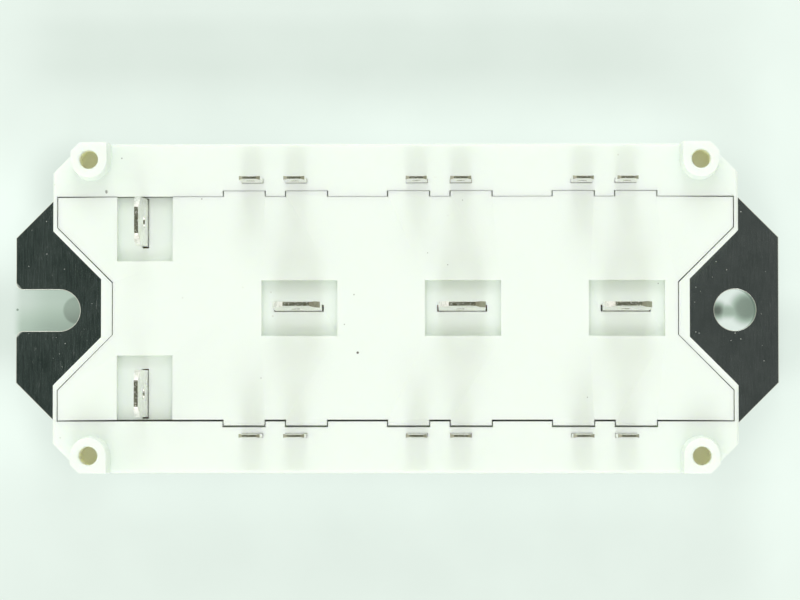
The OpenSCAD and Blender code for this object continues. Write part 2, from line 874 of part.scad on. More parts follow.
base_plate();
frame();
lid();
supply_terminal(1);  // terminal_dc_plus
supply_terminal(-1);  // terminal_dc_minus
output_terminal(0);  // terminal_u
output_terminal(1);  // terminal_v
output_terminal(2);  // terminal_w
for (number = [1:6]) {
    gate(number);
    emitter(number);
    igbt(number);
    diode(number);
}
for (phase = phases) {
    letter = ["u", "v", "w"][phase];
    bridge_under(phase);
    bridge_ceramic(phase);
    bridge_tracks(phase);
    bridge_wires(phase);
}
supply_under();  // copper_under_dc
supply_ceramic();  // ceramic_dc
supply_tracks();  // copper_tracks_dc
link_wires();  // bond_wires_dc
gel();
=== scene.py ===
import json
import math
import bmesh
import bpy
import numpy as np
from mathutils import Euler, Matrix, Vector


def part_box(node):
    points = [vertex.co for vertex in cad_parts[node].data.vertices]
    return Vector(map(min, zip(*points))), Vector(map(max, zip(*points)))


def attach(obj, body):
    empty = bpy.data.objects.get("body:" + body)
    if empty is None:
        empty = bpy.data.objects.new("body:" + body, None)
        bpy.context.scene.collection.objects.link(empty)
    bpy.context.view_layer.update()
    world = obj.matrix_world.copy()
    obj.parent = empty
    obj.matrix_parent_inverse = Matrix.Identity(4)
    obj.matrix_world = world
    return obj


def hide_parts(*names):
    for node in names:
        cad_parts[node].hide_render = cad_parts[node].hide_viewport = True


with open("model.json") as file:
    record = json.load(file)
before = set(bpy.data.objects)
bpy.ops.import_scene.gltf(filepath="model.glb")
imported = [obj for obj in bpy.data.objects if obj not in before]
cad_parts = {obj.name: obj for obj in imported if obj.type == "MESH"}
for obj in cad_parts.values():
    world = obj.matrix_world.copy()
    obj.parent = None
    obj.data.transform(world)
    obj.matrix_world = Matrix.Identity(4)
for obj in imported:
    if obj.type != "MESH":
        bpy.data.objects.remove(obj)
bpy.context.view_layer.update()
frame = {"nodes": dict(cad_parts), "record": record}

record = frame["record"]
mm = 0.001
weld = 0.002  # mm, points nearer than this are one
print("frame loaded,", len(frame["nodes"]), "nodes")


# Lowest corner of a node's box in mm
def lows(name):
    return np.array(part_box(name)[0]) / mm


# Highest corner of a node's box in mm
def highs(name):
    return np.array(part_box(name)[1]) / mm


mounts = {mount["name"]: mount for mount in record["mounts"]}
bossMount = mounts["board_screws"]
bossX = bossMount["dims"]["spacing_x_mm"] / 2
bossY = bossMount["dims"]["spacing_y_mm"] / 2
bossTop = highs("frame")[2]
ledgeTop = highs("lid")[2]
screwHole = mounts["heatsink_hole"]
screwX = screwHole["pos_m"][0] / mm
screwRadius = screwHole["dims"]["r_mm"]
powerBlades = ["terminal_dc_plus", "terminal_dc_minus", "terminal_u", "terminal_v", "terminal_w"]
controlBlades = ["gate_%d" % i for i in range(1, 7)] + ["emitter_%d" % i for i in range(1, 7)]


# One output of a material's node, which goes into sums as a number does
class Wire:
    def __init__(self, tree, socket):
        self.tree = tree
        self.socket = socket

    def make(self, kind, settings, inputs, output=0):
        node = self.tree.nodes.new(kind)
        for name, value in settings.items():
            setattr(node, name, value)
        for name, value in inputs.items():
            if isinstance(value, Wire):
                self.tree.links.new(value.socket, node.inputs[name])
            else:
                node.inputs[name].default_value = value
        return Wire(self.tree, node.outputs[output])

    def maths(self, operation, *values):
        return self.make("ShaderNodeMath", {"operation": operation}, dict(enumerate(values)))

    def __add__(self, other): return self.maths("ADD", self, other)
    def __radd__(self, other): return self.maths("ADD", other, self)
    def __sub__(self, other): return self.maths("SUBTRACT", self, other)
    def __rsub__(self, other): return self.maths("SUBTRACT", other, self)
    def __mul__(self, other): return self.maths("MULTIPLY", self, other)
    def __rmul__(self, other): return self.maths("MULTIPLY", other, self)
    def __neg__(self): return self.maths("MULTIPLY", self, -1.0)
    def __abs__(self): return self.maths("ABSOLUTE", self)

    def sine(self): return self.maths("SINE", self)
    def least(self, other): return self.maths("MINIMUM", self, other)
    def most(self, other): return self.maths("MAXIMUM", self, other)

    def rise(self, low, high):  # 0 at low, 1 at high and past it; low may be the larger one
        return self.make(
            "ShaderNodeMapRange", {"interpolation_type": "SMOOTHSTEP"},
            {"Value": self, "From Min": low, "From Max": high, "To Min": 0.0, "To Max": 1.0},
        )

    def noise(self, scale, detail=2.0, roughness=0.5):
        return self.make(
            "ShaderNodeTexNoise", {},
            {"Vector": self, "Scale": scale, "Detail": detail, "Roughness": roughness},
        )

    def cells(self, scale, feature="F1"):
        return self.make(
            "ShaderNodeTexVoronoi", {"feature": feature}, {"Vector": self, "Scale": scale}
        )

    def specks(self, scale, size, patchScale, patch):  # round ones, in patches of a slow noise
        return self.cells(scale).rise(*size) * self.noise(patchScale, 2.0).rise(*patch)

    def stretched(self, x, y, z):  # a vector with each axis scaled
        return self.make(
            "ShaderNodeVectorMath", {"operation": "MULTIPLY"}, {0: self, 1: (x, y, z)}
        )

    def between(self, a, b):  # this is the share of number b
        return a + (b - a) * self

    def mixed(self, a, b):  # this is the share of colour b
        return self.make("ShaderNodeMix", {"data_type": "RGBA"}, {0: self, 6: a, 7: b}, 2)

    def near(self, x, y):  # distance on the plan from a point
        flat = self.stretched(1, 1, 0)
        return flat.make(
            "ShaderNodeVectorMath", {"operation": "DISTANCE"}, {0: flat, 1: (x, y, 0)}, 1
        )

    def spot(self, x, y, radius, soft):  # 1 in a round place, 0 from its radius outwards
        return self.near(x, y).rise(radius, radius * soft)

    def pool(self, x, y, outer, inner, share):  # the share inside the inner radius, 0 outside
        return self.near(x, y).rise(outer, inner) * share


# x, y and z of a vector
def parts(wire):
    split = wire.make("ShaderNodeSeparateXYZ", {}, {0: wire}).socket.node
    return [Wire(wire.tree, output) for output in split.outputs]


# recipe(place, facing) returns what changes over the surface, and fixed holds what doesn't.
# place is the object's own coordinates in mm, and facing is the surface normal
def newMaterial(name, recipe, **fixed):
    material = bpy.data.materials.new(name)
    material.use_nodes = True
    tree = material.node_tree
    shader = next(n for n in tree.nodes if n.type == "BSDF_PRINCIPLED")
    for key, value in fixed.items():
        shader.inputs[key.replace("_", " ")].default_value = value
    start = Wire(tree, None)
    metres = start.make("ShaderNodeTexCoord", {}, {}, "Object")
    place = metres.stretched(1 / mm, 1 / mm, 1 / mm)
    facing = start.make("ShaderNodeNewGeometry", {}, {}, "Normal")
    found = recipe(place, facing)
    height = found.pop("height", None)
    if height is not None:
        wire, depth = height
        found["Normal"] = wire.make(
            "ShaderNodeBump", {}, {"Height": wire, "Strength": 1.0, "Distance": depth * mm}
        )
    for key, value in found.items():
        tree.links.new(value.socket, shader.inputs[key])
    return material


plastic = {  # lengths in mm, noise scales in waves per mm
    "white": (0.822, 0.908, 0.85, 1), "cream": (0.87, 0.90, 0.75, 1),
    "deep": (0.96, 0.97, 0.78, 1), "gap": (0.20, 0.21, 0.09, 1), "dirt": (0.10, 0.095, 0.07, 1),
    "scuff": (0.74, 0.78, 0.72, 1), "dust": (0.45, 0.44, 0.36, 1),
    "holeGlow": (0.021, 0.020, 0.012, 1),
    "frameTone": 0.975, "lidTone": 0.985, "shadeShare": 0.35, "creamShare": 0.8,
    "gapShare": 0.52, "scuffShare": 0.35, "dustShare": 0.35, "fleckShare": 0.95,
    "grainScale": 9.0, "cloudScale": 0.55, "waveScale": 0.16,
    "dustSpecks": {"scale": 0.42, "size": (0.075, 0.03), "patchScale": 0.21, "patch": (0.60, 0.70)},
    "scuffShape": (0.5, 2.2, 1.0), "scuffEdge": (0.66, 0.72),
    "scuffPatchScale": 0.12, "scuffPatch": (0.55, 0.62),
    "roughness": 0.42, "cloudRoughness": 0.12, "grainRoughness": 0.1,
    "grainDepth": 0.006, "waveDepth": 0.02, "grainShare": 0.3,
}
bossHole = {"edge": (1.42, 1.34), "depth": (0.35, 1.6)}  # mm from its axis, and under its rim
gapRoom = {  # where the lid's long sides, its notched ends and its tongues lie, mm
    "rimY": 14.5, "rimX": 36.8, "tongueY": 15.05, "tongueEnd": 16.1, "endX": 45.2,
    "soft": 0.3, "sharp": 0.1,
}
flecks = {  # x, y and radius of each
    "burr": (-38.9, 15.7, 0.25), "burrShare": 0.7, "burrRaggedness": 0.8,
    "black": [(-5.0, -6.0, 0.19)],
    "faint": [
        (-36.8, 20.2, 0.13), (-26.0, 14.7, 0.13), (-5.5, 1.8, 0.12), (-6.8, -2.2, 0.11),
        (7.1, 5.8, 0.1), (25.8, -12.0, 0.1), (-18.0, -9.4, 0.1), (4.4, 7.4, 0.09),
        (9.1, 14.5, 0.09), (35.4, 3.3, 0.11),
    ],
    "faintShare": 0.6,
}


# 1 on upright walls, 0 on what faces up or down
def upright(facing):
    return abs(parts(facing)[2]).rise(0.75, 0.35)


# The walls on both sides of the seam round the lid, which are painted dark as shade: those that
# face out of the middle on the lid, where side is 1, or into it on the frame, where side is -1,
# and all walls of the tongues
def gapWalls(place, facing, side):
    x, y, z = parts(place)
    nx, ny = parts(facing)[:2]
    soft, sharp = gapRoom["soft"], gapRoom["sharp"]
    turned = ((x * nx + y * ny) * side).rise(0, 6)
    rim = abs(y).rise(gapRoom["rimY"], gapRoom["rimY"] + soft).most(
        abs(x).rise(gapRoom["rimX"], gapRoom["rimX"] + soft))
    tongues = (abs(y).rise(gapRoom["tongueY"], gapRoom["tongueY"] + sharp)
               * abs(y).rise(gapRoom["tongueEnd"] + sharp, gapRoom["tongueEnd"])
               * abs(x).rise(gapRoom["endX"] + sharp, gapRoom["endX"]))
    belowTop = z.rise(ledgeTop - 0.05, ledgeTop - 0.25)
    return (turned * rim).most(tongues) * upright(facing) * belowTop


# The four blind holes in the bosses, from a little under their rims downwards, where pale yellow
# light is painted
def bossHoles(place):
    holes = None
    for sx in (-1, 1):
        for sy in (-1, 1):
            hole = place.near(sx * bossX, sy * bossY).rise(*bossHole["edge"])
            holes = hole if holes is None else holes.most(hole)
    start, full = bossHole["depth"]
    return holes * parts(place)[2].rise(bossTop - start, bossTop - full)


# Dark flecks in the top faces: one ragged burr, round black ones, and faint small ones
def darkFlecks(place):
    x, y, radius = flecks["burr"]
    ragged = (place.noise(5.0, 3.0, 0.7) - 0.5) * flecks["burrRaggedness"]
    found = (place.near(x, y) + ragged).rise(radius, radius * 0.5) * flecks["burrShare"]
    for x, y, radius in flecks["black"]:
        found = found.most(place.spot(x, y, radius, 0.7))
    for x, y, radius in flecks["faint"]:
        found = found.most(place.spot(x, y, radius, 0.5) * flecks["faintShare"])
    return found * parts(place)[2].rise(ledgeTop - 1.6, ledgeTop - 1.4)


# White moulding: fine grain, slow waves, flow shading and dark flecks, with painted shade and
# light: yellowish painted shade on low walls of the lid, dark painted shade on the walls of the
# seam round the lid, and a pale yellow painted glow in the boss holes.
# tone is how bright its shaded clouds are, side is 1 on the lid and -1 on the frame
def mouldedPlastic(tone, side, creamShare):
    def recipe(place, facing):
        grain = place.noise(plastic["grainScale"], 3.0, 0.6)
        wave = place.noise(plastic["waveScale"], 2.0, 0.5)
        cloud = place.noise(plastic["cloudScale"], 3.0, 0.55)
        below = parts(place)[2].rise(ledgeTop - 0.25, ledgeTop - 1.4)
        inside = below * upright(facing)
        holes = bossHoles(place)
        dust = place.specks(**plastic["dustSpecks"])
        scuffs = place.stretched(*plastic["scuffShape"]).noise(1.0, 4.0, 0.7)
        scuffs = (scuffs.rise(*plastic["scuffEdge"])
                  * place.noise(plastic["scuffPatchScale"], 2.0).rise(*plastic["scuffPatch"]))
        shaded = [c * tone for c in plastic["white"][:3]] + [1]
        colour = (cloud.rise(0.35, 0.75) * plastic["shadeShare"]).mixed(plastic["white"], shaded)
        # painted shade: on the lid, upright walls below its top are tinted yellowish, as shade in
        # the pits
        colour = (inside * creamShare).mixed(colour, plastic["cream"])
        # painted shade: the walls on both sides of the seam round the lid are darkened, as shade in
        # the narrow seam
        colour = (gapWalls(place, facing, side) * plastic["gapShare"]).mixed(
            colour, plastic["gap"])
        # painted light: the boss holes are painted pale yellow, as light let through the plastic
        colour = holes.mixed(colour, plastic["deep"])
        colour = (scuffs * plastic["scuffShare"]).mixed(colour, plastic["scuff"])
        colour = (dust * plastic["dustShare"]).mixed(colour, plastic["dust"])
        colour = (darkFlecks(place) * plastic["fleckShare"]).mixed(colour, plastic["dirt"])
        relief = (grain * plastic["grainShare"]
                  + wave * (plastic["waveDepth"] / plastic["grainDepth"]))
        return {
            "Base Color": colour,
            # painted light: a faint painted glow in the boss holes
            "Emission Color": holes.mixed((0, 0, 0, 1), plastic["holeGlow"]),
            "Roughness": (plastic["roughness"] + (cloud - 0.5) * plastic["cloudRoughness"]
                          + (grain - 0.5) * plastic["grainRoughness"]),
            "height": (relief, plastic["grainDepth"]),
        }
    return recipe


moulding = {  # the white polyester lets a little light through, more yellow than blue
    "IOR": 1.5, "Specular_IOR_Level": 0.4, "Subsurface_Weight": 0.5,
    "Subsurface_Radius": (0.95, 1.0, 0.75), "Subsurface_Scale": 1.1 * mm,
    "Emission_Strength": 1.0,
}
framePlastic = newMaterial(
    "frame plastic", mouldedPlastic(plastic["frameTone"], -1, 0.0), **moulding)
lidPlastic = newMaterial(
    "lid plastic", mouldedPlastic(plastic["lidTone"], 1, plastic["creamShare"]), **moulding)

nickel = {
    "bright": (0.72, 0.80, 0.77, 1), "dull": (0.36, 0.44, 0.41, 1), "dust": (0.86, 0.90, 0.86, 1),
    "edge": (0.80, 0.79, 0.70, 1),
    "tone": 0.48, "cloudShare": 0.7, "drawnWest": 2.4, "drawnEast": 0.9, "scratchShare": 0.6,
    "streak": (5.0, 0.35, 1.0), "fine": (22.0, 0.9, 6.0), "scratch": (9.0, 0.45, 3.0),
    "scratchEdge": (0.66, 0.74), "cloudScale": 0.22,
    "dustSpecks": {"scale": 1.4, "size": (0.10, 0.05), "patchScale": 0.33, "patch": (0.48, 0.58)},
    "smooth": 0.07, "dustRoughness": 0.3, "scratchRoughness": 0.09, "edgeRoughness": 0.2,
    "streakDepth": 0.0016,
}


# Nickel on a rolled plate: streaks across the plate, stronger and scratched towards -X,
# specks of dust, dull clouds, and paler sheared edges
def platedNickel(place, facing):
    x = parts(place)[0]
    streak = place.stretched(*nickel["streak"]).noise(1.0, 4.0, 0.6)
    fine = place.stretched(*nickel["fine"]).noise(1.0, 2.0, 0.6)
    scratch = place.stretched(*nickel["scratch"]).noise(1.0, 2.0, 0.55)
    scratch = scratch.rise(*nickel["scratchEdge"]) * x.rise(20, -20)
    cloud = place.noise(nickel["cloudScale"], 3.0, 0.6)
    dust = (place.specks(**nickel["dustSpecks"])
            * (0.25 + place.noise(2.1, 1.0).rise(0.4, 0.65)))
    up = abs(parts(facing)[2])
    edge = up.rise(0.98, 0.9) * up.rise(0.1, 0.4)
    drawn = x.rise(-20, 20).between(nickel["drawnWest"], nickel["drawnEast"])
    bright = nickel["tone"] + (streak - 0.5) * drawn + (cloud - 0.5) * nickel["cloudShare"]
    colour = bright.least(1.0).most(0.0).mixed(nickel["dull"], nickel["bright"])
    colour = (scratch * nickel["scratchShare"]).mixed(colour, nickel["dust"])
    colour = edge.mixed(colour, nickel["edge"])
    colour = dust.mixed(colour, nickel["dust"])
    rough = nickel["smooth"] + cloud * 0.04 + fine * 0.06
    return {
        "Base Color": colour,
        "Roughness": (rough + dust * nickel["dustRoughness"]
                      + scratch * nickel["scratchRoughness"] + edge * nickel["edgeRoughness"]),
        "height": (fine + streak * 2.0 + dust * 3.0, nickel["streakDepth"]),
    }


nickelPlate = newMaterial("nickel plate", platedNickel, Metallic=1.0)

tin = {
    "bright": (1.0, 1.0, 0.97, 1), "dull": (0.82, 0.82, 0.77, 1), "stain": (0.17, 0.17, 0.11, 1),
    "cut": (0.25, 0.27, 0.205, 1), "olive": (0.42, 0.41, 0.32, 1),
    "glint": (0.86, 0.88, 0.84, 1), "glintShare": 0.7,
    "powerStain": 0.9, "controlStain": 0.6, "powerCut": 0.0, "controlCut": 0.9,
    "drawn": (14.0, 14.0, 0.6), "cloudScale": 0.8,
    "specks": {"scale": 2.6, "size": (0.16, 0.06), "patchScale": 1.1, "patch": (0.48, 0.6)},
    "smooth": 0.20, "rollDepth": 0.002,
}


# Tin on a stamped blade: drawn lines up the blade, dull clouds, dark stained tips with painted
# highlight specks. The cut shoulders that face +X are olive, and a share cutEnds of those that
# face -X too
def tinnedBlade(stainShare, cutEnds):
    def recipe(place, facing):
        lines = place.stretched(*tin["drawn"]).noise(1.0, 3.0, 0.6)
        cloud = place.noise(tin["cloudScale"], 4.0, 0.65)
        speck = place.specks(**tin["specks"])
        side, up = parts(facing)[::2]
        sheared = up.rise(0.4, 0.7)
        flat = up.rise(0.85, 0.95)
        cutSide = side.rise(0.2, 0.5).most(abs(side).rise(0.2, 0.5) * cutEnds)
        shoulder = up.rise(0.2, 0.4) * cutSide
        spots = place.noise(2.2, 3.0, 0.75).rise(0.46, 0.6)
        # painted highlight: pale specks on the flat tips
        paintedGlints = place.noise(4.2, 2.0, 0.7).rise(0.57, 0.63) * flat * stainShare
        stains = (spots * (sheared * 0.25 + flat * 0.75) * stainShare + speck * 0.1).least(1.0)
        colour = cloud.rise(0.35, 0.7).mixed(tin["bright"], tin["dull"])
        colour = shoulder.mixed(colour, tin["olive"])
        colour = flat.mixed(colour, tin["cut"])
        colour = stains.mixed(colour, tin["stain"])
        colour = (paintedGlints * tin["glintShare"]).mixed(colour, tin["glint"])
        return {
            "Base Color": colour,
            "Roughness": (tin["smooth"] + cloud * 0.10 + lines * 0.08 + sheared * 0.04
                          + paintedGlints * 0.2),
            "height": (lines * 1.5 + cloud + speck * -2.0, tin["rollDepth"]),
        }
    return recipe


powerTin = newMaterial(
    "tinned blade", tinnedBlade(tin["powerStain"], tin["powerCut"]), Metallic=1.0)
controlTin = newMaterial(
    "tinned pin", tinnedBlade(tin["controlStain"], tin["controlCut"]), Metallic=1.0)

copperLook = {
    "bright": (0.83, 0.44, 0.30, 1), "oxide": (0.55, 0.27, 0.17, 1),
    "border": (0.62, 0.33, 0.23, 1),
    "grainScale": 1.3, "bloomScale": 0.35, "fineScale": 12.0, "smooth": 0.26, "grainDepth": 0.004,
}


# Bonded copper: coarse grain borders and a dull oxide bloom
def etchedCopper(place, facing):
    grain = place.cells(copperLook["grainScale"], "DISTANCE_TO_EDGE").rise(0.0, 0.06)
    bloom = place.noise(copperLook["bloomScale"], 4.0, 0.6)
    fine = place.noise(copperLook["fineScale"], 2.0)
    colour = bloom.rise(0.35, 0.7).mixed(copperLook["bright"], copperLook["oxide"])
    colour = (1.0 - grain).mixed(colour, copperLook["border"])
    return {
        "Base Color": colour,
        "Roughness": copperLook["smooth"] + bloom * 0.22 + fine * 0.06,
        "height": (grain + fine * 0.5, copperLook["grainDepth"]),
    }


copper = newMaterial("bonded copper", etchedCopper, Metallic=1.0)

tile = {
    "pale": (0.80, 0.79, 0.74, 1), "clouded": (0.72, 0.71, 0.66, 1),
    "fleck": (0.35, 0.34, 0.32, 1), "fleckShare": 0.5, "grainScale": 16.0, "cloudScale": 0.3,
    "flecks": {"scale": 2.0, "size": (0.09, 0.04), "patchScale": 0.9, "patch": (0.5, 0.6)},
    "roughness": 0.58, "grainDepth": 0.003,
}


# Alumina tile: powdery grain, faint firing clouds, small grey inclusions
def firedCeramic(place, facing):
    grain = place.noise(tile["grainScale"], 3.0, 0.6)
    cloud = place.noise(tile["cloudScale"], 3.0)
    fleck = place.specks(**tile["flecks"])
    colour = cloud.rise(0.3, 0.7).mixed(tile["pale"], tile["clouded"])
    colour = (fleck * tile["fleckShare"]).mixed(colour, tile["fleck"])
    return {
        "Base Color": colour,
        "Roughness": tile["roughness"] + grain * 0.14,
        "height": (grain, tile["grainDepth"]),
    }


ceramic = newMaterial("fired ceramic", firedCeramic, IOR=1.7)

die = {
    "ridge": (0.62, 0.63, 0.65, 1), "groove": (0.50, 0.51, 0.54, 1), "side": (0.12, 0.12, 0.14, 1),
    "scuff": (0.36, 0.36, 0.38, 1), "scuffShare": 0.4, "cellPitch": 0.35,
    "smooth": 0.28, "cellDepth": 0.002,
}


# Aluminium on a chip: a comb of cells, the sine of 2 pi y over their pitch, with bare dark
# sides and small scuffs
def dieSurface(place, facing):
    comb = (parts(place)[1] * (2 * math.pi / die["cellPitch"])).sine()
    scuff = place.noise(1.6, 4.0, 0.7)
    fine = place.noise(20.0, 2.0)
    up = parts(facing)[2]
    colour = (comb * 0.5 + 0.5).mixed(die["ridge"], die["groove"])
    colour = up.rise(0.8, 0.4).mixed(colour, die["side"])
    colour = (scuff.rise(0.55, 0.8) * die["scuffShare"]).mixed(colour, die["scuff"])
    return {
        "Base Color": colour,
        "Roughness": die["smooth"] + scuff * 0.2 + fine * 0.05,
        "Metallic": up.rise(0.4, 0.8) * 0.9,
        "height": (comb * 0.5 + fine, die["cellDepth"]),
    }


chipSilicon = newMaterial("chip", dieSurface)

wireLook = {
    "bright": (0.86, 0.86, 0.87, 1), "oxide": (0.70, 0.70, 0.72, 1), "drawn": (9.0, 9.0, 22.0),
    "cloudScale": 1.2, "smooth": 0.28, "lineDepth": 0.003,
}


# Aluminium wire: faint drawing lines and a soft mottled oxide
def drawnWire(place, facing):
    lines = place.stretched(*wireLook["drawn"]).noise(1.0, 2.0)
    cloud = place.noise(wireLook["cloudScale"], 3.0)
    return {
        "Base Color": cloud.rise(0.35, 0.7).mixed(wireLook["bright"], wireLook["oxide"]),
        "Roughness": wireLook["smooth"] + cloud * 0.12,
        "height": (lines, wireLook["lineDepth"]),
    }


bondWire = newMaterial("bond wire", drawnWire, Metallic=1.0)

gelLook = {
    "clear": (0.93, 0.93, 0.90, 1), "haze": (0.80, 0.81, 0.78, 1), "rippleScale": 0.25,
    "bubbles": {"scale": 1.1, "size": (0.12, 0.08), "patchScale": 0.7, "patch": (0.52, 0.6)},
    "hazeScale": 0.6, "smooth": 0.04, "rippleDepth": 0.02,
}


# Silicone gel: nearly clear, slow ripples, a faint haze and pin-head bubbles
def clearGel(place, facing):
    ripple = place.noise(gelLook["rippleScale"], 2.0)
    bubble = place.specks(**gelLook["bubbles"])
    haze = place.noise(gelLook["hazeScale"], 3.0)
    cloudy = (haze.rise(0.4, 0.8) * 0.5 + bubble * 0.4).least(1.0)
    return {
        "Base Color": cloudy.mixed(gelLook["clear"], gelLook["haze"]),
        "Roughness": gelLook["smooth"] + haze * 0.05 + bubble * 0.1,
        "height": (ripple * 6.0 + bubble, gelLook["rippleDepth"]),
    }


gelMaterial = newMaterial("silicone gel", clearGel, Transmission_Weight=0.9, IOR=1.41)
print("materials made")

slotMaterials = {
    "nickel_plate": nickelPlate, "frame_plastic": framePlastic, "lid_plastic": lidPlastic,
    "tinned_tab": powerTin, "tinned_pin": controlTin, "copper": copper, "ceramic": ceramic,
    "silicon": chipSilicon, "bond_wire": bondWire, "silicone_gel": gelMaterial,
}
slotByFirstWord = {
    "base": "nickel_plate", "frame": "frame_plastic", "lid": "lid_plastic",
    "terminal": "tinned_tab", "gate": "tinned_pin", "emitter": "tinned_pin", "copper": "copper",
    "ceramic": "ceramic", "igbt": "silicon", "diode": "silicon", "bond": "bond_wire",
    "gel": "silicone_gel",
}


# A node's name up to its first underscore
def firstWord(name):
    return name.split("_")[0]


# The record's material slot for a node
def slotOf(name):
    return slotByFirstWord[firstWord(name)]


for name, node in frame["nodes"].items():
    for place in node.material_slots:
        place.material = slotMaterials[slotOf(name)]
print("materials given to the nodes")


# Gives a piece its node's finish, and shows it instead of the node
def standsFor(piece, name):
    piece.data.materials.clear()
    piece.data.materials.append(slotMaterials[slotOf(name)])
    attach(piece, "root")
    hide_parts(name)
    return piece


# A copy of a node's mesh, with its points merged where they meet
def merged(name):
    mesh = frame["nodes"][name].data.copy()
    mesh.name = name + "_worked"
    shape = bmesh.new()
    shape.from_mesh(mesh)
    bmesh.ops.remove_doubles(shape, verts=shape.verts, dist=weld * mm)
    shape.to_mesh(mesh)
    shape.free()
    return mesh


# Moves a mesh's points towards -Y, by bow times the sixth power of x over reach
def bowed(mesh, bow, reach):
    points = np.empty(3 * len(mesh.vertices))
    mesh.vertices.foreach_get("co", points)
    points = points.reshape(-1, 3)
    points[:, 1] -= bow * mm * (points[:, 0] / (reach * mm)) ** 6
    mesh.vertices.foreach_set("co", points.ravel())


# Four-sided faces on a grid of points that is closed along its columns: point (i, j) with
# (i, j + 1), (i + 1, j + 1) and (i + 1, j), where the points are numbered from start
def ringFaces(rows, columns, start=0):
    at = start + np.arange(rows * columns).reshape(rows, columns)
    on = np.roll(at, -1, axis=1)
    return np.stack([at[:-1], on[:-1], on[1:], at[1:]], axis=-1).reshape(-1, 4)


# A smooth object with this mesh, at the origin
def newPiece(name, mesh):
    mesh.shade_smooth()
    piece = bpy.data.objects.new(name, mesh)
    bpy.context.collection.objects.link(piece)
    return piece


plate = {  # mm
    "roll": 0.09, "rollSteps": 5, "mouth": 1.0, "cornerCut": 12.5, "arcSteps": 40,
    "flatWeight": 100,
}


# Points on an arc: centre plus radius times (cos a, sin a), for a from first to last degrees
def arc(x, y, radius, first, last, steps):
    a = np.radians(np.linspace(first, last, steps))
    return np.stack([x + radius * np.cos(a), y + radius * np.sin(a)], axis=1)


# Each point of a closed outline moved to its left by a distance: along the sum of the left
# normals of its two sides, over one plus their dot product
def movedIn(outline, distance):
    side = np.roll(outline, -1, axis=0) - outline
    side /= np.linalg.norm(side, axis=1, keepdims=True)
    left = np.stack([-side[:, 1], side[:, 0]], axis=1)
    before = np.roll(left, 1, axis=0)
    share = 1 + (left * before).sum(axis=1, keepdims=True)
    return outline + distance * (left + before) / share


# The stamped plate: its outline and its hole are carried up a wall that starts and ends in a
# quarter circle, moved in by r(1 - cos a) at r(1 - sin a) from each face
def stampedPlate(name, settings):
    low, high = lows(name), highs(name)
    endX, sideY, thick = high[0], high[1], high[2] - low[2]
    cut, mouth, steps = settings["cornerCut"], settings["mouth"], settings["arcSteps"]
    r = screwRadius
    outline = np.concatenate([
        [[-endX, sideY - cut]],
        arc(mouth - endX, r + mouth, mouth, 180, 270, steps // 4),
        arc(-screwX, 0, r, 90, -90, steps),
        arc(mouth - endX, -r - mouth, mouth, 90, 180, steps // 4),
        [[-endX, cut - sideY], [cut - endX, -sideY], [endX - cut, -sideY], [endX, cut - sideY],
         [endX, sideY - cut], [endX - cut, sideY], [cut - endX, sideY]],
    ])
    hole = arc(screwX, 0, r, 360, 0, 2 * steps + 1)[:-1]
    roll = settings["roll"]
    a = np.radians(np.linspace(90, 0, settings["rollSteps"]))
    inset = np.concatenate([roll * (1 - np.cos(a)), roll * (1 - np.cos(a[::-1]))])
    height = np.concatenate([roll * (1 - np.sin(a)), thick - roll * (1 - np.sin(a[::-1]))])
    shape = bmesh.new()
    for loop in (outline, hole):
        rings = np.stack([np.c_[movedIn(loop, d), np.full(len(loop), low[2] + z)]
                          for d, z in zip(inset, height)])
        wall = bpy.data.meshes.new("wall")
        wall.from_pydata(
            (rings.reshape(-1, 3) * mm).tolist(), [], ringFaces(len(inset), len(loop)).tolist())
        shape.from_mesh(wall)
        bpy.data.meshes.remove(wall)
    for level in (low[2], high[2]):
        rim = [e for e in shape.edges
               if e.is_boundary and all(abs(v.co.z / mm - level) < weld for v in e.verts)]
        bmesh.ops.triangle_fill(
            shape, use_beauty=True, edges=rim, normal=(0, 0, 1 if level > low[2] else -1))
    bmesh.ops.recalc_face_normals(shape, faces=shape.faces)
    mesh = bpy.data.meshes.new(name + "_stamped")
    shape.to_mesh(mesh)
    shape.free()
    piece = newPiece(name + "_stamped", mesh)
    even = piece.modifiers.new("even shading", "WEIGHTED_NORMAL")
    even.weight = settings["flatWeight"]
    return standsFor(piece, name)


stampedPlate("base_plate", plate)
print("base plate made")

evenWeight = 80  # how much the larger faces count in the shading of a rounded edge


# A copy of a node's mesh with its doubles merged and its edges rounded over
def dressed(name, settings):
    mesh = merged(name)
    if "bow" in settings:
        bowed(mesh, settings["bow"], highs(name)[0])
    piece = newPiece(name + "_worked", mesh)
    bevel = piece.modifiers.new("rounded edges", "BEVEL")
    bevel.width = settings["edge"] * mm
    bevel.segments = settings["steps"]
    bevel.limit_method = "ANGLE"
    bevel.angle_limit = math.radians(settings["angle"])
    bevel.use_clamp_overlap = True
    bevel.harden_normals = False
    bevel.miter_outer = "MITER_ARC"
    even = piece.modifiers.new("even shading", "WEIGHTED_NORMAL")
    even.keep_sharp = True
    even.weight = evenWeight
    return standsFor(piece, name)


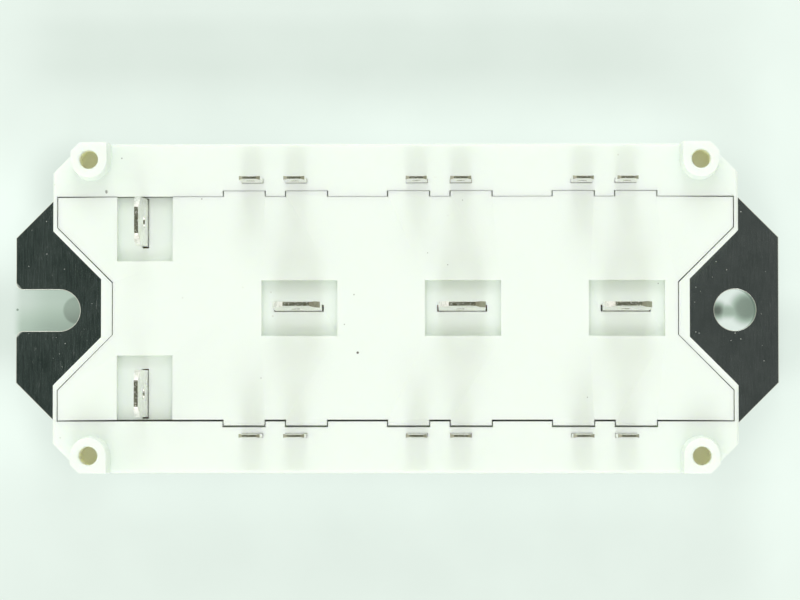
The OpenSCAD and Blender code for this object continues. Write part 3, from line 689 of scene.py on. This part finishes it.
edges = {  # width of the rounding in mm, its steps, and the least angle that is rounded
    "frame": {"edge": 0.12, "steps": 2, "angle": 35},
    "lid": {"edge": 0.05, "steps": 2, "angle": 35, "bow": 0.11},
    "power": {"edge": 0.06, "steps": 2, "angle": 25},
    "control": {"edge": 0.04, "steps": 2, "angle": 25},
    "ceramic": {"edge": 0.03, "steps": 2, "angle": 35},
    "copper": {"edge": 0.04, "steps": 2, "angle": 35},
    "igbt": {"edge": 0.02, "steps": 2, "angle": 35},
    "diode": {"edge": 0.02, "steps": 2, "angle": 35},
}
for name in ("frame", "lid"):
    dressed(name, edges[name])
for name in powerBlades:
    dressed(name, edges["power"])
for name in controlBlades:
    dressed(name, edges["control"])
for name in frame["nodes"]:
    if firstWord(name) in ("ceramic", "copper", "igbt", "diode"):
        dressed(name, edges[firstWord(name)])
print("edges rounded over")

bonding = {  # foot in radii of the wire, flat and spread as shares of its radius
    "sides": 12, "steps": 44, "foot": 4.2, "flat": 0.45, "spread": 1.45, "heel": 0.8,
}


# The loose parts of a mesh: each point takes the lowest number of its neighbours, until no
# number changes, and the points with one number are one part
def looseParts(mesh):
    ends = np.empty(2 * len(mesh.edges), dtype=np.int64)
    mesh.edges.foreach_get("vertices", ends)
    a, b = ends.reshape(-1, 2).T
    number = np.arange(len(mesh.vertices))
    while True:
        least = np.minimum(number[a], number[b])
        fresh = number.copy()
        np.minimum.at(fresh, a, least)
        np.minimum.at(fresh, b, least)
        fresh = fresh[fresh]
        if (fresh == number).all():
            break
        number = fresh
    points = np.empty(3 * len(mesh.vertices))
    mesh.vertices.foreach_get("co", points)
    points = points.reshape(-1, 3) / mm
    return [points[number == k] for k in np.unique(number)]


# One wire: an oval carried along an arch. The arch is the sine of pi s, to the power "heel",
# between two flat feet; at a foot the oval is squashed to "flat" of the wire's radius in
# height, and spread sideways
def wirePoints(part, settings):
    middle = part.mean(axis=0)
    flat = part[:, :2] - middle[:2]
    along = np.linalg.svd(flat, full_matrices=False)[2][0]
    t = flat @ along
    wide = np.ptp(flat @ np.array([-along[1], along[0]])) / 2
    first, last, top = t.min(), t.max(), part[:, 2].max()
    low = [part[t < first + wide, 2].min(), part[t > last - wide, 2].min()]
    s = np.linspace(0, 1, settings["steps"])
    run = last - first
    reach = settings["foot"] * wide / run
    squash = 1 - np.clip(np.minimum(s, 1 - s) / reach, 0, 1) ** 3
    arch = np.sin(np.pi * np.clip((s - reach / 2) / (1 - reach), 0, 1)) ** settings["heel"]
    half = wide * (1 - (1 - settings["flat"]) * squash)
    ground = low[0] + (low[1] - low[0]) * np.clip((s - reach) / (1 - 2 * reach), 0, 1)
    z = ground + half + (top - wide - ground - half) * arch
    centre = np.stack([
        middle[0] + along[0] * (first + run * s), middle[1] + along[1] * (first + run * s), z,
    ], axis=1)
    tangent = np.gradient(centre, axis=0)
    tangent /= np.linalg.norm(tangent, axis=1, keepdims=True)
    side = np.array([-along[1], along[0], 0.0])
    up = np.cross(tangent, side)
    up *= np.sign(up[:, 2:3])
    a = np.linspace(0, 2 * np.pi, settings["sides"], endpoint=False)
    broad = wide * (1 + (settings["spread"] - 1) * squash)
    return (centre[:, None, :]
            + np.cos(a)[None, :, None] * broad[:, None, None] * side
            + np.sin(a)[None, :, None] * half[:, None, None] * up[:, None, :])


# All wires of one node, each a closed tube on its own grid, kept inside the node's box
def bondWires(name, settings):
    source = merged(name)
    wires = [wirePoints(part, settings) for part in looseParts(source)]
    bpy.data.meshes.remove(source)
    rows, columns = wires[0].shape[:2]
    faces = []
    for i in range(len(wires)):
        start = i * rows * columns
        faces += ringFaces(rows, columns, start).tolist()
        faces.append(list(range(start, start + columns))[::-1])
        faces.append(list(range(start + (rows - 1) * columns, start + rows * columns)))
    mesh = bpy.data.meshes.new(name + "_bonded")
    points = np.concatenate([w.reshape(-1, 3) for w in wires])
    low, high = lows(name), highs(name)
    mesh.from_pydata((np.clip(points, low, high) * mm).tolist(), [], faces)
    shape = bmesh.new()
    shape.from_mesh(mesh)
    bmesh.ops.recalc_face_normals(shape, faces=shape.faces)
    shape.to_mesh(mesh)
    shape.free()
    return standsFor(newPiece(name + "_bonded", mesh), name)


for name in frame["nodes"]:
    if name.startswith("bond_wires"):
        bondWires(name, bonding)
print("bond wires made")

room = {
    "floor": (0.755, 0.865, 0.785, 1), "mottle": 0.99, "mottleShare": 0.25,
    "floorSize": 6.0, "floorDrop": 0.2 * mm,
    "lampDistance": 0.9, "lampSize": 0.42, "lampLift": 37.0, "lampPower": 1.8,
    "lampColour": (0.97, 1.0, 1.06),
    "skyLow": (1.03, 1.0, 0.93, 1), "skyEast": (0.50, 0.49, 0.44, 1),
    "skyTopWest": (0.050, 0.064, 0.058, 1), "skyTopEast": (0.094, 0.096, 0.094, 1),
    "skyBand": (0.93, 0.985),
}
grain = {"x": -52.73, "y": 0.19, "radius": 0.2, "soft": 0.6, "colour": (0.12, 0.13, 0.11, 1)}
# How the pale floor glows, with its painted light and painted shadow round the object and under the
# screw hole and the slot
glow = {
    "colour": (0.80, 0.895, 0.84), "strength": 1.11, "share": 0.75, "shadowTint": (0.86, 1.0, 0.88),
    "tone": 0.90, "northSide": 0.12, "southSide": 0.06, "northBand": 0.09, "farSouth": 0.03,
    "eastEnd": 0.08, "clouds": 0.10,
    "pools": [  # x, y, outer and inner radius in mm, and how much lighter the floor is painted there: painted light, and painted shadow where it is negative
        (-56, 14, 12, 1, 0.10), (-56, -16, 13, 1, 0.10), (-55.5, -1.5, 9, 2, -0.12),
        (53.5, -4.0, 8, 2, -0.12), (-45.5, 17.5, 8, 2, -0.16), (-46, -16.5, 7, 2, -0.06),
        (47, 17, 7, 2, -0.04),
    ],
    "hole": 0.98, "holeWest": 0.89, "holeEast": 0.71, "holeMiddle": 0.52,
    "slot": 0.60, "slotEnd": 0.22, "slotSouth": 0.20, "slotMouth": 0.10,
}
bands = {  # where the floor's painted bands of light and shadow go from nothing to full, or back, mm
    "outer": (31, 24), "inner": (0, 10), "northWest": (-30, 0), "northEast": (52, 36),
    "southWest": (-50, -36), "southEast": (48, 34),
    "darkY": 36.5, "darkWidth": (8, 2), "darkOuter": (76, 42), "darkInner": (30, 38),
    "darkOuterShare": 0.45, "darkEast": (48, 25), "darkWest": (-46, -56),
    "farSouth": (27, 38), "eastStart": (46, 54), "eastPlace": (66, -6), "eastReach": (75, 30),
}


# Matte paper: a faint mottle, and one dark grain by the slot
def floorRecipe(place, facing):
    mottle = place.noise(0.8, 3.0)
    darker = [c * room["mottle"] for c in room["floor"][:3]] + [1]
    colour = (mottle.rise(0.3, 0.7) * room["mottleShare"]).mixed(room["floor"], darker)
    speck = place.spot(grain["x"], grain["y"], grain["radius"], grain["soft"])
    colour = (speck * 0.9).mixed(colour, grain["colour"])
    return {"Base Color": colour, "Roughness": 0.7 + mottle * 0.1}


# How bright the pale floor is round the object, as painted light and shade: painted light along
# its long sides and off its east end, painted shadow in a band north of it and far south, and
# painted pools of light and shadow off the ends of the plate
def openFloorLightAndShade(place):
    x, y = parts(place)[:2]
    north = (y.rise(*bands["outer"]) * y.rise(*bands["inner"])
             * (0.3 + x.rise(*bands["northWest"]) * 0.7) * x.rise(*bands["northEast"])
             * glow["northSide"])
    south = ((-y).rise(*bands["outer"]) * (-y).rise(*bands["inner"])
             * x.rise(*bands["southWest"]) * x.rise(*bands["southEast"]) * glow["southSide"])
    beyond = y.rise(*bands["darkOuter"]) * y.rise(*bands["darkInner"]) * bands["darkOuterShare"]
    dark = abs(y - bands["darkY"]).rise(*bands["darkWidth"]).most(beyond)
    dip = (dark * x.rise(*bands["darkEast"]) * (1 - x.rise(*bands["darkWest"]))
           * glow["northBand"])
    far = (-y).rise(*bands["farSouth"]) * glow["farSouth"]
    east = (x.rise(*bands["eastStart"])
            * place.near(*bands["eastPlace"]).rise(*bands["eastReach"]) * glow["eastEnd"])
    clouds = (place.noise(0.07, 2.0) - 0.5) * glow["clouds"]
    tone = glow["tone"] + north + south - dip - far + east + clouds
    for pool in glow["pools"]:
        tone = tone + place.pool(*pool)
    speck = place.spot(grain["x"], grain["y"], grain["radius"], grain["soft"])
    return tone * (1 - speck * 0.85)


# The light that the walls of the screw hole and the slot throw on the floor under them: two
# dark lobes and a dim belt in the hole, a round shadow and a dimmer south side in the slot
def underScrews(place):
    x, y = parts(place)[:2]
    r = screwRadius
    west = place.pool(screwX - r * 0.76, 0.0, r * 0.64, r * 0.08, glow["holeWest"])
    east = place.pool(screwX + r * 0.64, r * 0.12, r * 1.04, r * 0.36, glow["holeEast"])
    middle = abs(y + 0.1).rise(r * 0.52, r * 0.08) * glow["holeMiddle"]
    hole = glow["hole"] - west.most(east).most(middle)
    end = place.pool(r * 0.70 - screwX, 0.1, r * 0.72, r * 0.58, glow["slotEnd"])
    south = y.rise(1.4, -2.6) * glow["slotSouth"]
    slot = glow["slot"] - end - south + x.rise(-48, -52) * glow["slotMouth"]
    return x.rise(-1, 1).between(slot, hole)


# 1 on the floor inside the screw hole and the slot
def screwRoom(place):
    x, y = parts(place)[:2]
    outer, inner = screwRadius + 0.6, screwRadius + 0.3
    slot = abs(y).rise(outer, inner) * x.rise(-42, -43) * x.rise(-53.5, -52)
    return place.near(screwX, 0).rise(outer, inner).most(slot)


# Seen straight or in metal and glass, a share of the floor glows, so that shadows stay light
def paleFloor(material):
    tree = material.node_tree
    output = next(n for n in tree.nodes if n.type == "OUTPUT_MATERIAL")
    shaded = Wire(tree, output.inputs["Surface"].links[0].from_socket)
    place = shaded.make("ShaderNodeTexCoord", {}, {}, "Object").stretched(1 / mm, 1 / mm, 1 / mm)
    tone = screwRoom(place).between(openFloorLightAndShade(place), underScrews(place))
    colour = tone.make(
        "ShaderNodeVectorMath", {"operation": "SCALE"},
        {0: glow["colour"], "Scale": tone * glow["strength"]})
    shadow = (0.86 - tone).rise(0, 0.4)  # the painted shade under the plate is greener
    colour = shadow.mixed(colour, colour.stretched(*glow["shadowTint"]))
    lit = colour.make("ShaderNodeEmission", {}, {"Color": colour, "Strength": 1.0})
    rays = [colour.make("ShaderNodeLightPath", {}, {}, kind)
            for kind in ("Is Camera Ray", "Is Glossy Ray", "Is Transmission Ray")]
    seen = rays[0].most(rays[1]).most(rays[2])
    mix = seen.make("ShaderNodeMixShader", {}, {0: seen * glow["share"], 1: shaded, 2: lit})
    tree.links.new(mix.socket, output.inputs["Surface"])


floorMaterial = newMaterial("backdrop paper", floorRecipe, Specular_IOR_Level=0.2)
paleFloor(floorMaterial)
half = room["floorSize"] / 2
floorMesh = bpy.data.meshes.new("floor")
floorMesh.from_pydata(
    [(-half, -half, 0), (half, -half, 0), (half, half, 0), (-half, half, 0)], [], [(0, 1, 2, 3)])
floorMesh.materials.append(floorMaterial)
floor = bpy.data.objects.new("floor", floorMesh)
floor.location.z = -room["floorDrop"]
bpy.context.collection.objects.link(floor)

# The sky is even, but for a dark rig straight above and a dimmer low side towards +X
world = bpy.data.worlds.new("studio")
bpy.context.scene.world = world
world.use_nodes = True
worldTree = world.node_tree
background = next(n for n in worldTree.nodes if n.type == "BACKGROUND")
direction = Wire(worldTree, None).make("ShaderNodeTexCoord", {}, {}, "Generated")
towardsX, lift = parts(direction)[::2]
low = towardsX.rise(0.6, 0.9).mixed(room["skyLow"], room["skyEast"])
top = towardsX.rise(-0.12, 0.10).mixed(room["skyTopWest"], room["skyTopEast"])
sky = lift.rise(*room["skyBand"]).mixed(low, top)
worldTree.links.new(sky.socket, background.inputs["Color"])


# A round soft box facing the object, at distance times (sin turn cos lift, cos turn cos lift,
# sin lift)
def softLamp(name, turn):
    data = bpy.data.lights.new(name, "AREA")
    data.shape = "DISK"
    data.size = room["lampSize"]
    data.energy = room["lampPower"]
    data.color = room["lampColour"]
    lamp = bpy.data.objects.new(name, data)
    a, e = math.radians(turn), math.radians(room["lampLift"])
    d = room["lampDistance"]
    lamp.location = (d * math.sin(a) * math.cos(e), d * math.cos(a) * math.cos(e), d * math.sin(e))
    lamp.rotation_euler = (math.radians(90) - e, 0, math.pi - a)
    bpy.context.collection.objects.link(lamp)


softLamp("back lamp", 0)
softLamp("front lamp", 180)

lens = {  # place in mm, focal length and film width in mm, tip in radians
    "x": 8.91, "y": -12.16, "height": 439.9, "focal": 142.93, "film": 36.0,
    "tip": (0.0310, 0.0193, -0.0004), "near": 0.01, "far": 20.0,
}
cameraData = bpy.data.cameras.new("camera")
cameraData.lens = lens["focal"]
cameraData.sensor_width = lens["film"]
cameraData.clip_start = lens["near"]
cameraData.clip_end = lens["far"]
camera = bpy.data.objects.new("camera", cameraData)
camera.location = (lens["x"] * mm, lens["y"] * mm, lens["height"] * mm)
camera.rotation_euler = Euler(lens["tip"])
bpy.context.collection.objects.link(camera)
bpy.context.scene.camera = camera
bpy.context.scene.view_settings.view_transform = "Standard"
print("floor, light and camera set")
